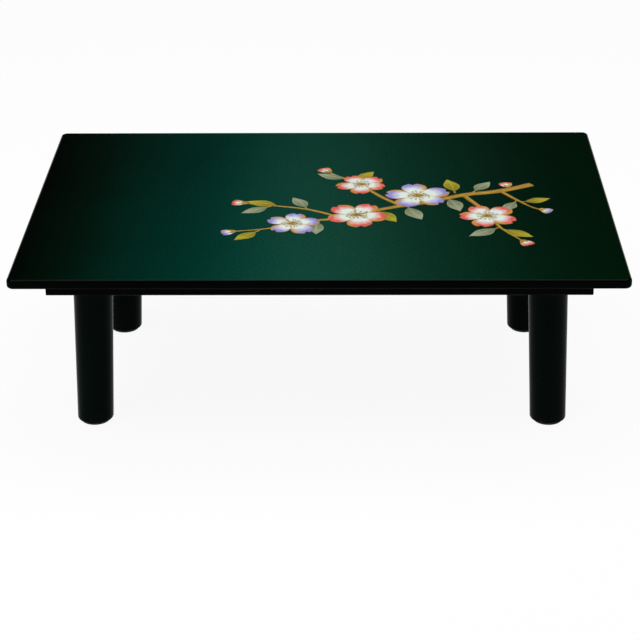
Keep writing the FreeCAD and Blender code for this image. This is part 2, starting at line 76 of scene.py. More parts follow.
def feed(tree, socket, source):
    """Wires a socket to another one, or sets it to a plain value."""
    if isinstance(source, bpy.types.NodeSocket):
        tree.links.new(source, socket)
    else:
        socket.default_value = source


def add_node(tree, kind, inputs=None, **settings):
    made = tree.nodes.new(kind)
    for name, setting in settings.items():
        setattr(made, name, setting)
    for socket, source in (inputs or {}).items():
        feed(tree, made.inputs[socket], source)
    return made


def reckon(tree, operation, first, second=0.0):
    return add_node(tree, "ShaderNodeMath", {0: first, 1: second}, operation=operation).outputs[0]


# Finishes

# most values of a noise pattern lie between these two
NOISE_LOW, NOISE_HIGH = 0.3, 0.7

# where the board's coats change: down from its upper face, and up from its underside
GREEN_FULL, GREEN_GONE = 0.03 * MM, 0.8 * MM
GLOSS_GONE, SATIN_FULL = 1.5 * MM, 3.0 * MM
UNDERCOAT_FULL, UNDERCOAT_GONE = 0.02 * MM, 0.22 * MM

# how far wear reaches: up a rail from its underside, up a leg from the floor, and round a rivet
RAIL_FLAT_EDGE, RAIL_OFF_FLAT, RAIL_WEAR = 0.02 * MM, 0.25 * MM, 2.2 * MM
FOOT_WEAR_FULL, FOOT_WEAR_GONE = 3 * MM, 14 * MM
RIVET_WEAR_FULL, RIVET_WEAR_GONE = 4.6 * MM, 7.4 * MM


class Finish:
    """A node material. Constants sit on the shader's own sockets; patterns are wired into the rest."""

    def __init__(self, name, **constants):
        self.material = bpy.data.materials.new(name)
        self.material.use_nodes = True
        self.tree = self.material.node_tree
        self.shader = self.tree.nodes["Principled BSDF"]
        for socket, amount in constants.items():
            self.shader.inputs[socket.replace("_", " ")].default_value = amount
        self.place = self.node("ShaderNodeTexCoord").outputs["Object"]

    def node(self, kind, inputs=None, **settings):
        return add_node(self.tree, kind, inputs, **settings)

    def own_map(self):
        """The piece's own pattern map."""
        return self.node("ShaderNodeUVMap", uv_map="UVMap").outputs[0]

    def sum(self, operation, first, second=0.0):
        return reckon(self.tree, operation, first, second)

    def off(self, value, middle):
        """How far a value lies from a middle one, on either side."""
        return self.sum("ABSOLUTE", self.sum("SUBTRACT", value, middle))

    def spread(self, source, low, high, to_low=0.0, to_high=1.0):
        """Carries one range of a value to another, held at its ends."""
        inputs = {0: source, 1: low, 2: high, 3: to_low, 4: to_high}
        return self.node("ShaderNodeMapRange", inputs, clamp=True).outputs[0]

    def vary(self, pattern, to_low, to_high):
        """Carries the usual range of a noise pattern to another."""
        return self.spread(pattern, NOISE_LOW, NOISE_HIGH, to_low, to_high)

    def split(self, vector):
        return self.node("ShaderNodeSeparateXYZ", {0: vector}).outputs

    def stretch(self, vector, scale):
        return self.node("ShaderNodeMapping", {"Vector": vector, "Scale": scale}).outputs[0]

    def noise(self, scale, detail=2.0, vector=None, roughness=0.5):
        inputs = {"Vector": vector or self.place, "Scale": scale, "Detail": detail, "Roughness": roughness}
        return self.node("ShaderNodeTexNoise", inputs).outputs["Fac"]

    def drawn_noise(self, scales, detail=2.0, vector=None, roughness=0.5):
        """Noise with a scale of its own along each axis."""
        return self.noise(1, detail, self.stretch(vector or self.place, scales), roughness)

    def specks(self, scale):
        inputs = {"Vector": self.place, "Scale": scale}
        return self.node("ShaderNodeTexVoronoi", inputs).outputs["Distance"]

    def bands(self, vector, scale, distortion):
        inputs = {"Vector": vector, "Scale": scale, "Distortion": distortion}
        return self.node("ShaderNodeTexWave", inputs).outputs["Fac"]

    def ramp(self, source, stops, interpolation="EASE"):
        made = self.node("ShaderNodeValToRGB", {0: source})
        made.color_ramp.interpolation = interpolation
        elements = made.color_ramp.elements
        while len(elements) < len(stops):
            elements.new(0.5)
        for element, (position, colour) in zip(elements, stops):
            element.position = position
            element.color = (*colour, 1)
        return made.outputs[0]

    def two_tone(self, pattern, dark, light):
        """Two tones over the usual range of a noise pattern."""
        return self.ramp(pattern, [(NOISE_LOW, dark), (NOISE_HIGH, light)])

    def blend(self, share, first, second):
        """Mixes two colours; either may be three plain numbers."""
        first, second = ((*c, 1) if isinstance(c, tuple) else c for c in (first, second))
        inputs = {0: share, 6: first, 7: second}
        return self.node("ShaderNodeMix", inputs, data_type="RGBA").outputs[2]

    def brighten(self, colour, share):
        inputs = {0: colour, "Scale": share}
        return self.node("ShaderNodeVectorMath", inputs, operation="SCALE").outputs[0]

    def colour(self, source):
        feed(self.tree, self.shader.inputs["Base Color"], source)

    def roughness(self, source):
        feed(self.tree, self.shader.inputs["Roughness"], source)

    def relief(self, height, depth, strength):
        inputs = {"Height": height, "Distance": depth, "Strength": strength}
        feed(self.tree, self.shader.inputs["Normal"], self.node("ShaderNodeBump", inputs).outputs[0])


def green_top_lacquer_and_painted_highlight():
    """Deep green lacquer with a painted soft highlight: lit across the middle, fading to black toward both
    ends and brighter toward the front; a black rim, and a thin matte undercoat below.
    """
    finish = Finish("green_top_lacquer_and_painted_highlight", Specular_IOR_Level=0.02)
    x, y, z = finish.split(finish.place)
    cloud = finish.vary(finish.noise(5, detail=3), -0.012, 0.012)
    # painted highlight: the green is lightest across the middle of the board and fades to black toward both
    # ends, standing in for a soft reflection of light
    along = finish.sum("ADD", finish.spread(x, BOARD_LOW.x, BOARD_HIGH.x), cloud)
    green_with_painted_highlight = finish.ramp(along, [
        (0.0, (0.0001, 0.0009, 0.0001)),
        (0.15, (0.0001, 0.0105, 0.0060)),
        (0.32, (0.0006, 0.0264, 0.0177)),
        (0.48, (0.0043, 0.0420, 0.0274)),
        (0.64, (0.0028, 0.0274, 0.0160)),
        (0.82, (0.0008, 0.0115, 0.0056)),
        (1.0, (0.0001, 0.0058, 0.0014)),
    ], "CARDINAL")
    # painted light: the top is brighter toward the front and darker toward the back
    painted_front_light = finish.spread(y, BOARD_LOW.y, BOARD_HIGH.y, 1.17, 0.83)
    green_with_painted_highlight = finish.brighten(green_with_painted_highlight, painted_front_light)
    mottle = finish.vary(finish.noise(380, detail=5), 0.78, 1.22)
    green_with_painted_highlight = finish.brighten(green_with_painted_highlight, mottle)
    rim_black = (0.0003, 0.0006, 0.0005)
    upper = finish.spread(z, BOARD_TOP - GREEN_GONE, BOARD_TOP - GREEN_FULL)
    lacquer = finish.blend(upper, rim_black, green_with_painted_highlight)
    grain = finish.drawn_noise((5, 210, 1), detail=5, roughness=0.6)
    undercoat = finish.ramp(grain, [
        (0.30, (0.011, 0.0105, 0.0095)), (0.50, (0.024, 0.022, 0.020)), (0.70, (0.040, 0.036, 0.032)),
    ])
    under = finish.spread(z, BOARD_UNDERSIDE + UNDERCOAT_FULL, BOARD_UNDERSIDE + UNDERCOAT_GONE, 1.0, 0.0)
    finish.colour(finish.blend(under, lacquer, undercoat))
    polish = finish.vary(finish.noise(38, detail=3), 0.10, 0.15)
    satin_edge = finish.spread(z, BOARD_TOP - SATIN_FULL, BOARD_TOP - GLOSS_GONE, 0.62, 0.0)
    finish.roughness(finish.sum("MAXIMUM", polish, satin_edge))
    finish.relief(finish.noise(260), depth=0.05 * MM, strength=0.35)
    return finish.material


def black_rail_lacquer():
    """Satin black, thinner and a little brown where hands rub the lower edges."""
    finish = Finish("black_rail_lacquer", Specular_IOR_Level=0.015)
    _, _, z = finish.split(finish.place)
    low_edge = finish.spread(z, RAIL_UNDERSIDE, RAIL_UNDERSIDE + RAIL_WEAR, 1.0, 0.0)
    off_flat = finish.spread(z, RAIL_UNDERSIDE + RAIL_FLAT_EDGE, RAIL_UNDERSIDE + RAIL_OFF_FLAT, 0.2, 1.0)
    patchy = finish.spread(finish.noise(90, detail=4), 0.48, 0.66)
    rubbed = finish.sum("MULTIPLY", finish.sum("MULTIPLY", low_edge, off_flat), patchy)
    cloud = finish.noise(24, detail=4)
    black = finish.two_tone(cloud, (0.0005, 0.0007, 0.0006), (0.0010, 0.0014, 0.0012))
    thin_brown = (0.0120, 0.0085, 0.0060)
    finish.colour(finish.blend(rubbed, black, thin_brown))
    finish.roughness(finish.vary(finish.noise(60, detail=3), 0.30, 0.40))
    finish.relief(finish.noise(300), depth=0.05 * MM, strength=0.4)
    return finish.material


def black_leg_lacquer():
    """Green-black, polished round the leg, with faint scuffs low on the foot."""
    finish = Finish("black_leg_lacquer", Specular_IOR_Level=0.02)
    _, _, z = finish.split(finish.place)
    streaks = finish.drawn_noise((70, 70, 6), detail=3)
    black = finish.two_tone(streaks, (0.0004, 0.0030, 0.0024), (0.0008, 0.0046, 0.0037))
    foot = finish.spread(z, FOOT_WEAR_FULL, FOOT_WEAR_GONE, 1.0, 0.0)
    scuffs = finish.spread(finish.drawn_noise((160, 160, 420), detail=5), 0.56, 0.68)
    worn = finish.sum("MULTIPLY", foot, scuffs)
    scuffed_grey = (0.018, 0.017, 0.014)
    finish.colour(finish.blend(worn, black, scuffed_grey))
    finish.roughness(finish.vary(finish.noise(45, detail=3), 0.22, 0.32))
    finish.relief(finish.noise(280), depth=0.05 * MM, strength=0.4)
    return finish.material


def bracket_paint():
    """Baked black paint, worn to bare steel round the rivet where the leg turns."""
    finish = Finish("bracket_paint", Specular_IOR_Level=0.2)
    x, y, z = finish.split(finish.place)
    front, rear = PIVOTS["front_right"], PIVOTS["rear_right"]
    pivot_x = finish.spread(y, -MM, MM, front.x, rear.x)
    reach = finish.sum("SUBTRACT", finish.sum("ABSOLUTE", x), pivot_x)
    rise = finish.sum("SUBTRACT", z, front.z)
    squares = finish.sum("ADD", finish.sum("POWER", reach, 2), finish.sum("POWER", rise, 2))
    ring = finish.spread(finish.sum("SQRT", squares), RIVET_WEAR_FULL, RIVET_WEAR_GONE, 1.0, 0.0)
    chips = finish.spread(finish.noise(420, detail=4), 0.42, 0.56)
    bare = finish.sum("MULTIPLY", ring, chips)
    cloud = finish.noise(150, detail=3)
    black = finish.two_tone(cloud, (0.010, 0.010, 0.011), (0.018, 0.018, 0.019))
    bare_steel = (0.26, 0.25, 0.24)
    finish.colour(finish.blend(bare, black, bare_steel))
    feed(finish.tree, finish.shader.inputs["Metallic"], bare)
    finish.roughness(finish.vary(finish.noise(220, detail=3), 0.36, 0.50))
    finish.relief(finish.noise(700), depth=0.04 * MM, strength=0.5)
    return finish.material


def rivet_steel():
    finish = Finish("rivet_steel", Metallic=1.0)
    hammered = finish.noise(650)
    finish.colour(finish.two_tone(hammered, (0.16, 0.155, 0.15), (0.31, 0.30, 0.29)))
    finish.roughness(finish.vary(hammered, 0.26, 0.42))
    finish.relief(hammered, depth=0.08 * MM, strength=0.5)
    return finish.material


def blued_spring_steel():
    """Rolled strip: grain along its length, tempered blue with straw-brown patches."""
    finish = Finish("blued_spring_steel", Metallic=1.0)
    grain = finish.drawn_noise((25, 1500, 400), detail=4)
    temper = finish.noise(28, detail=3)
    tint = finish.ramp(temper, [
        (0.30, (0.125, 0.145, 0.200)), (0.52, (0.165, 0.175, 0.210)), (0.72, (0.250, 0.215, 0.175)),
    ])
    finish.colour(finish.brighten(tint, finish.vary(grain, 0.85, 1.15)))
    finish.roughness(finish.vary(grain, 0.24, 0.38))
    finish.relief(grain, depth=0.03 * MM, strength=0.4)
    return finish.material


def black_zinc():
    finish = Finish("black_zinc", Metallic=1.0)
    cloud = finish.noise(480, detail=3)
    finish.colour(finish.two_tone(cloud, (0.10, 0.10, 0.105), (0.20, 0.20, 0.205)))
    finish.roughness(finish.vary(cloud, 0.28, 0.42))
    finish.relief(finish.noise(1500), depth=0.02 * MM, strength=0.5)
    return finish.material


def pressed_felt():
    finish = Finish("pressed_felt", Roughness=1.0, Specular_IOR_Level=0.1, Sheen_Weight=0.35)
    fibres = finish.drawn_noise((2400, 2400, 5200), detail=6, roughness=0.7)
    finish.colour(finish.ramp(fibres, [(0.32, (0.010, 0.010, 0.010)), (0.68, (0.055, 0.054, 0.052))]))
    finish.relief(fibres, depth=0.25 * MM, strength=0.9)
    return finish.material


def gold_lacquer_and_painted_highlight():
    """Ochre-gold powder lacquer, streaked along each stroke, with a painted highlight on its crest and
    painted shade along its edges.
    """
    finish = Finish("gold_lacquer_and_painted_highlight", Specular_IOR_Level=0.35, Metallic=0.15)
    along, turned, _ = finish.split(finish.own_map())
    across = finish.sum("MULTIPLY", finish.sum("FRACT", finish.sum("ADD", turned, 0.1)), 2.0)
    stroke = finish.node("ShaderNodeCombineXYZ", {0: along, 1: across}).outputs[0]
    streaks = finish.drawn_noise((26, 9, 1), detail=4, vector=stroke)
    tone = finish.ramp(streaks, [
        (0.30, (0.205, 0.098, 0.006)), (0.48, (0.355, 0.198, 0.014)), (0.70, (0.505, 0.325, 0.040)),
    ])
    # painted highlight on each raised stroke's crest, and painted shade toward its edges
    off_painted_crest_highlight = finish.off(across, 0.42)
    tone = finish.brighten(tone, finish.spread(off_painted_crest_highlight, 0.05, 0.50, 1.18, 0.48))
    bars = finish.spread(finish.drawn_noise((150, 3, 1), vector=stroke), 0.60, 0.68, 0.0, 0.55)
    bark_brown = (0.150, 0.062, 0.008)
    tone = finish.blend(bars, tone, bark_brown)
    grains = finish.spread(finish.specks(scale=1500), 0.10, 0.28, 0.32, 0.0)
    bright_gold = (0.66, 0.48, 0.14)
    finish.colour(finish.blend(grains, tone, bright_gold))
    finish.roughness(finish.vary(streaks, 0.36, 0.50))
    finish.relief(finish.sum("SUBTRACT", streaks, bars), depth=0.12 * MM, strength=0.6)
    return finish.material


def petal_lacquer(name, tip):
    """Pale at the heart, tinted at the tip, with veins, an ochre shade on one side and a drawn rim."""
    finish = Finish(name, Specular_IOR_Level=0.25)
    own = finish.own_map()
    across, along, _ = finish.split(own)
    wander = finish.vary(finish.noise(150, detail=3), -0.06, 0.06)
    off_middle = finish.off(across, 0.5)
    reach = finish.sum("ADD", finish.sum("ADD", along, wander), finish.sum("MULTIPLY", off_middle, 0.30))
    half_tinted = tuple(0.5 * (0.72 + part) for part in tip)
    body = finish.ramp(reach, [
        (0.10, (0.42, 0.38, 0.22)), (0.26, (0.64, 0.74, 0.65)), (0.52, (0.70, 0.79, 0.72)),
        (0.72, half_tinted), (0.88, tip),
    ])
    veins = finish.bands(finish.stretch(own, (1, 0.25, 1)), scale=3.6, distortion=1.2)
    veins = finish.spread(veins, 0.70, 0.98)
    near_heart = finish.spread(along, 0.15, 0.80, 0.60, 0.0)
    vein_grey = (0.30, 0.33, 0.30)
    body = finish.blend(finish.sum("MULTIPLY", veins, near_heart), body, vein_grey)
    shaded = finish.spread(finish.sum("ADD", across, wander), 0.72, 0.95)
    shaded = finish.sum("MULTIPLY", shaded, finish.spread(along, 0.20, 0.50))
    ochre = (0.50, 0.24, 0.025)
    body = finish.blend(shaded, body, ochre)
    rim_sides = finish.spread(off_middle, 0.455, 0.485)
    rim = finish.sum("MAXIMUM", rim_sides, finish.spread(along, 0.955, 0.985))
    rim_brown = (0.30, 0.15, 0.03)
    finish.colour(finish.blend(finish.sum("MULTIPLY", rim, 0.7), body, rim_brown))
    finish.roughness(finish.vary(finish.noise(300, detail=3), 0.34, 0.46))
    finish.relief(veins, depth=0.05 * MM, strength=0.5)
    return finish.material


def leaf_lacquer(name, deep, pale, rib):
    """Two close tones along the leaf, with a drawn midrib, slanting side veins and a fine rim line."""
    finish = Finish(name, Specular_IOR_Level=0.15, Metallic=0.1)
    across, along, _ = finish.split(finish.own_map())
    off_rib = finish.off(across, 0.5)
    cloud = finish.vary(finish.noise(160, detail=4), -0.15, 0.15)
    tone = finish.ramp(finish.sum("ADD", along, cloud), [(0.1, deep), (0.9, pale)])
    slant = finish.sum("SUBTRACT", along, finish.sum("MULTIPLY", off_rib, 0.45))
    side_veins = finish.spread(finish.sum("PINGPONG", slant, 0.055), 0.0, 0.012, 0.45, 0.0)
    midrib = finish.spread(off_rib, 0.018, 0.05, 1.0, 0.0)
    rim = finish.spread(off_rib, 0.43, 0.475, 0.0, 0.8)
    drawn = finish.sum("MAXIMUM", finish.sum("MAXIMUM", midrib, side_veins), rim)
    finish.colour(finish.blend(drawn, tone, rib))
    finish.roughness(finish.vary(finish.noise(260, detail=3), 0.36, 0.48))
    finish.relief(drawn, depth=0.06 * MM, strength=0.5)
    return finish.material


def heart_lacquer():
    finish = Finish("heart_lacquer", Specular_IOR_Level=0.3)
    mottled = finish.noise(900, detail=3)
    finish.colour(finish.ramp(mottled, [
        (0.35, (0.17, 0.075, 0.012)), (0.50, (0.36, 0.19, 0.022)), (0.66, (0.60, 0.40, 0.08)),
    ]))
    finish.roughness(finish.vary(mottled, 0.38, 0.52))
    finish.relief(mottled, depth=0.08 * MM, strength=0.6)
    return finish.material


def paint(piece, material):
    piece.data.materials.clear()
    piece.data.materials.append(material)


# Modelling by hand

# how near a point of a unit sheet lies to a row or line that it belongs to
ROW_NEAR = 1e-4


def clear_selection():
    bpy.ops.object.select_all(action="DESELECT")


def latest():
    """The piece that the last operator made or worked on."""
    return bpy.context.view_layer.objects.active


def hold(piece):
    """Selects a piece alone and makes it the active one."""
    clear_selection()
    piece.select_set(True)
    bpy.context.view_layer.objects.active = piece


def label(piece, name):
    piece.name = name
    piece.data.name = name


def start_shaping():
    bpy.ops.object.mode_set(mode="EDIT")
    bpy.ops.mesh.select_mode(type="VERT")


def stop_shaping():
    bpy.ops.object.mode_set(mode="OBJECT")


def pick(piece, wanted):
    """In edit mode, selects the points whose place passes a test."""
    bpy.ops.mesh.select_all(action="DESELECT")
    cage = bmesh.from_edit_mesh(piece.data)
    for point in cage.verts:
        point.select_set(wanted(point.co))
    cage.select_flush(True)
    bmesh.update_edit_mesh(piece.data)


def pick_all():
    bpy.ops.mesh.select_all(action="SELECT")


def draw_out(shift):
    """In edit mode, extrudes what is selected."""
    bpy.ops.mesh.extrude_region_move(TRANSFORM_OT_translate={"value": shift})


def settle(piece):
    """Moves a piece's place, turn and size into its mesh."""
    hold(piece)
    bpy.ops.object.transform_apply(location=True, rotation=True, scale=True)


def apply_modifier(piece, kind, **settings):
    modifier = piece.modifiers.new(kind.lower(), kind)
    for name, setting in settings.items():
        setattr(modifier, name, setting)
    bpy.context.view_layer.objects.active = piece
    bpy.ops.object.modifier_apply(modifier=modifier.name)


def face_outward(piece):
    hold(piece)
    start_shaping()
    pick_all()
    bpy.ops.mesh.remove_doubles(threshold=NEAR)
    bpy.ops.mesh.normals_make_consistent(inside=False)
    stop_shaping()


def smooth(piece, degrees):
    hold(piece)
    bpy.ops.object.shade_smooth_by_angle(angle=math.radians(degrees))


def copy_of(pattern, place, turn=(0, 0, 0), size=(1, 1, 1)):
    """A copy with its own mesh, put in place and settled there."""
    hold(pattern)
    bpy.ops.object.duplicate()
    copy = latest()
    copy.location = place
    copy.rotation_euler = turn
    copy.scale = size
    settle(copy)
    return copy


def join(pieces, name):
    clear_selection()
    for piece in pieces:
        piece.select_set(True)
    bpy.context.view_layer.objects.active = pieces[0]
    bpy.ops.object.join()
    joined = latest()
    label(joined, name)
    return joined


def discard(*patterns):
    for pattern in patterns:
        bpy.data.objects.remove(pattern)


def shape_rows(sheet, widths, bend=0.0):
    """Draws each row of an upright unit sheet in or out to its half width, and shifts it sideways."""
    start_shaping()
    for height, half_width in widths:
        pick(sheet, lambda place: abs(place.y - height) < ROW_NEAR)
        bpy.ops.transform.resize(value=(2 * half_width, 1, 1), center_override=(0, height, 0))
        bpy.ops.transform.translate(value=(bend * height * height, 0, 0))
    stop_shaping()


def add_sheet(columns, rows):
    """A flat unit sheet that stands on its lower edge, with its own pattern map."""
    bpy.ops.mesh.primitive_grid_add(
        x_subdivisions=columns, y_subdivisions=rows, size=1, location=(0, 0.5, 0), calc_uvs=True
    )
    sheet = latest()
    settle(sheet)
    return sheet


def pull(sheet, wanted, shift, reach):
    """Pulls some points of a sheet, and their neighbours less and less."""
    start_shaping()
    pick(sheet, wanted)
    bpy.ops.transform.translate(
        value=shift, use_proportional_edit=True, proportional_edit_falloff="SMOOTH",
        proportional_size=reach,
    )
    stop_shaping()


def outline_at(rows, knots):
    """Half widths at evenly spaced rows, read from a few drawn ones."""
    widths = []
    for row in range(rows + 1):
        height = row / rows
        low, high = [pair for pair in zip(knots, knots[1:]) if pair[0][0] <= height + NEAR][-1]
        share = (height - low[0]) / (high[0] - low[0])
        widths.append((height, low[1] + share * (high[1] - low[1])))
    return widths


# The raised lacquer picture: a spray of mountain cherry, laid over the right of the board

# half widths of the unit patterns, from foot to tip
PETAL_OUTLINE = [
    (0.0, 0.06), (0.08, 0.10), (0.20, 0.18), (0.35, 0.28), (0.50, 0.355), (0.62, 0.385), (0.74, 0.380),
    (0.84, 0.335), (0.92, 0.255), (1.0, 0.130),
]
LEAF_OUTLINE = [
    (0.0, 0.012), (0.06, 0.070), (0.15, 0.145), (0.30, 0.222), (0.45, 0.248), (0.58, 0.228), (0.72, 0.168),
    (0.85, 0.092), (0.94, 0.036), (1.0, 0.003),
]
STAMEN_OUTLINE = [(0.0, 0.040), (0.25, 0.034), (0.5, 0.028), (0.75, 0.024), (1.0, 0.022)]

# rise of each step of the unit boss, and its radius there
HEART_STEPS = ((0.10, 0.96), (0.06, 0.82), (0.02, 0.62), (-0.05, 0.42), (-0.03, 0.20))

# thickness of the unit patterns, and how they are formed
PETAL_THICKNESS, PETAL_CROWN, PETAL_NOTCH = 0.013, 0.008, 0.09
LEAF_THICKNESS, LEAF_CREASE, LEAF_BEND = 0.012, 0.010, 0.10
STAMEN_THICKNESS, GRAIN_RADIUS, GRAIN_SHAPE = 0.02, 0.085, (1, 1.25, 0.32)

# centre in mm, radius in mm, turn in degrees, tint
BLOSSOMS = [
    (101, 10, 34, 8, "lavender"),
    (37, -44, 33, 40, "coral"),
    (171, -47, 30, 22, "coral"),
    (-29, -67, 28, -6, "lavender"),
    (42, 43, 27, 30, "coral"),
]
PETALS = 5
STAMENS = 15

# boughs and twigs, thick end first: places in mm and half width in mm
BOUGHS = [
    [(223, 43, 4.9), (190, 22, 4.7), (150, 15, 4.3), (108, -11, 3.8), (65, -24, 3.3), (28, -53, 2.8),
     (-15, -58, 2.2), (-50, -81, 1.6), (-77, -85, 0.8)],
    [(148, 14, 3.0), (160, -11, 2.8), (176, -49, 2.3), (181, -80, 1.7), (197, -104, 0.9)],
    [(84, -18, 2.6), (63, 5, 2.4), (45, 39, 2.0), (30, 57, 1.5), (14, 72, 0.8)],
    [(23, -53, 2.3), (0, -33, 2.0), (-33, -20, 1.6), (-69, -13, 0.7)],
    [(190, 22, 2.4), (204, -3, 2.0), (219, -23, 0.9)],
]

# where the stalk leaves its twig in mm, direction in degrees from +X, leaf length in mm, tone
LEAVES = [
    (-42, -19, 155, 33, "olive"), (-52, -18, 218, 30, "silver"), (-14, -27, 112, 30, "silver"),
    (-62, -84, 232, 29, "olive"), (-2, -58, 262, 31, "silver"), (56, -30, 308, 33, "olive"),
    (89, -18, 286, 35, "silver"), (28, 59, 158, 31, "silver"), (33, 54, 46, 30, "olive"),
    (132, 5, 292, 34, "silver"), (141, 18, 96, 34, "olive"), (160, 20, 62, 30, "silver"),
    (183, -80, 318, 32, "olive"), (181, -77, 222, 33, "silver"), (207, -8, 12, 28, "olive"),
    (204, -3, 246, 28, "silver"),
]

# the same for the buds, with their tint
BUDS = [
    (-69, -13, 168, 17, "coral"), (-77, -85, 196, 16, "lavender"), (14, 72, 128, 17, "coral"),
    (197, -104, 300, 16, "coral"), (219, -23, 325, 15, "lavender"), (199, 25, 100, 16, "coral"),
]

# stalks: length in mm, sideways bow in degrees, half widths in mm from twig to end
LEAF_STALK, LEAF_STALK_BOW, LEAF_STALK_WIDTHS = 6.0, 8, (1.3, 1.0, 0.7)
BUD_STALK, BUD_STALK_BOW, BUD_STALK_WIDTHS = 8.0, -6, (1.2, 1.0, 1.3)
STALK_BOWED_AT = 0.6

# how far a stalk runs on: under a leaf in mm, into a bud as a share of its length
UNDER_LEAF, INTO_BUD = 2, 0.25

# heights above the board in mm, and the height that one unit of a boss or stamen has
LEAF_LIFT, HEART_LIFT, PETAL_LIFT, SEPAL_LIFT, STAMEN_LIFT = 0.12, 0.30, 0.42, 0.50, 0.78
HEART_HEIGHT, STAMEN_HEIGHT = 3.2, 12
STROKE_FLATNESS = 0.085

# sizes as shares of a blossom's radius or a bud's length, and angles in degrees and radians
HEART_SIZE, STAMEN_WIDTH, BUD_PETAL_WIDTH, SEPAL_SIZE = 0.135, 0.36, 0.62, 0.55
PETAL_TILT_DEGREES = 0.55
SEPAL_LEANS = (-0.42, 0.42)

# lean in radians and height in mm of a bud's furled petals
BUD_PETALS = ((-0.30, 0.20), (0.30, 0.26), (0.0, 0.38))

TINTS = {"coral": (0.64, 0.092, 0.072), "lavender": (0.245, 0.225, 0.540)}

# deep tone, pale tone and rib of the leaves
TONES = {
    "olive": ((0.190, 0.165, 0.004), (0.360, 0.320, 0.014), (0.50, 0.36, 0.05)),
    "silver": ((0.130, 0.175, 0.100), (0.260, 0.315, 0.205), (0.42, 0.38, 0.18)),
}
PICTURE_SEED = 11


def model_petal():
    """A broad petal with a notched tip, drawn up slightly along its middle, one unit long."""
    rows = 16
    petal = add_sheet(10, rows)
    shape_rows(petal, outline_at(rows, PETAL_OUTLINE))
    pull(petal, lambda place: abs(place.x) < 0.02 and place.y > 0.97, (0, -PETAL_NOTCH, 0), reach=0.12)
    pull(petal, lambda place: abs(place.x) < 0.06 and 0.45 < place.y < 0.65, (0, 0, PETAL_CROWN), reach=0.4)
    apply_modifier(petal, "SOLIDIFY", thickness=PETAL_THICKNESS, offset=-1)
    smooth(petal, degrees=40)
    return petal


def model_leaf():
    """A pointed leaf that curves to one side, creased along its midrib, one unit long."""
    rows = 18
    leaf = add_sheet(8, rows)
    shape_rows(leaf, outline_at(rows, LEAF_OUTLINE), bend=LEAF_BEND)

    def on_midrib(place):
        return abs(place.x - LEAF_BEND * place.y ** 2) < ROW_NEAR and 0.1 < place.y < 0.9

    pull(leaf, on_midrib, (0, 0, LEAF_CREASE), reach=0.12)
    apply_modifier(leaf, "SOLIDIFY", thickness=LEAF_THICKNESS, offset=-1)
    smooth(leaf, degrees=40)
    return leaf


def model_heart():
    """A low boss with a dished middle, one unit in radius."""
    bpy.ops.mesh.primitive_circle_add(vertices=28, radius=1, fill_type="NGON")
    heart = latest()
    start_shaping()
    pick_all()
    for rise, radius in HEART_STEPS:
        draw_out((0, 0, rise))
        cage = bmesh.from_edit_mesh(heart.data)
        share = radius / max(point.co.xy.length for point in cage.verts if point.select)
        bpy.ops.transform.resize(value=(share, share, 1), center_override=(0, 0, 0))
    stop_shaping()
    face_outward(heart)
    smooth(heart, degrees=50)
    return heart


def model_stamen():
    """A fine tapered thread with a grain on its end, one unit long."""
    thread = add_sheet(2, 4)
    shape_rows(thread, STAMEN_OUTLINE)
    apply_modifier(thread, "SOLIDIFY", thickness=STAMEN_THICKNESS, offset=-1)
    bpy.ops.mesh.primitive_uv_sphere_add(segments=10, ring_count=6, radius=GRAIN_RADIUS, location=(0, 1, 0))
    grain = latest()
    grain.scale = GRAIN_SHAPE
    settle(grain)
    stamen = join([thread, grain], "stamen_pattern")
    smooth(stamen, degrees=50)
    return stamen


def at(x, y, lift):
    """A place on or above the board's upper face, from millimetres."""
    return (x * MM, y * MM, BOARD_TOP + lift * MM)


def beyond(x, y, degrees, distance):
    angle = math.radians(degrees)
    return x + distance * math.cos(angle), y + distance * math.sin(angle)


def lay_blossoms(petal, heart, stamen, chance):
    """Petals round a boss and its stamens, for each blossom; gives petals by tint, and hearts."""
    petals = {tint: [] for tint in TINTS}
    hearts = []
    tilt = math.radians(PETAL_TILT_DEGREES)
    for x, y, radius, turned, tint in BLOSSOMS:
        for step in range(PETALS):
            turn = math.radians(turned + 360 * step / PETALS + chance.uniform(-4, 4))
            length = radius * MM * chance.uniform(0.95, 1.05)
            width = length * chance.uniform(0.96, 1.04)
            size = (width, length, length)
            petals[tint].append(copy_of(petal, at(x, y, PETAL_LIFT), (0, tilt, turn), size))
        boss = HEART_SIZE * radius * MM
        turn = chance.uniform(0, 6)
        hearts.append(copy_of(heart, at(x, y, HEART_LIFT), (0, 0, turn), (boss, boss, HEART_HEIGHT * MM)))
        for step in range(STAMENS):
            turn = math.radians(360 * step / STAMENS + chance.uniform(-7, 7))
            length = radius * MM * chance.uniform(0.25, 0.38)
            size = (STAMEN_WIDTH * radius * MM, length, STAMEN_HEIGHT * MM)
            hearts.append(copy_of(stamen, at(x, y, STAMEN_LIFT), (0, 0, turn), size))
    return petals, hearts


def lay_leaves(leaf):
    """Leaves by tone, curved to the left and to the right by turns."""
    leaves = {tone: [] for tone in TONES}
    for number, (x, y, degrees, length, tone) in enumerate(LEAVES):
        foot = beyond(x, y, degrees, LEAF_STALK)
        turn = math.radians(degrees - 90)
        side = 1 if number % 2 else -1
        size = (side * length * MM, length * MM, length * MM)
        made = copy_of(leaf, at(*foot, LEAF_LIFT), (0, 0, turn), size)
        if side < 0:
            face_outward(made)
        leaves[tone].append(made)
    return leaves


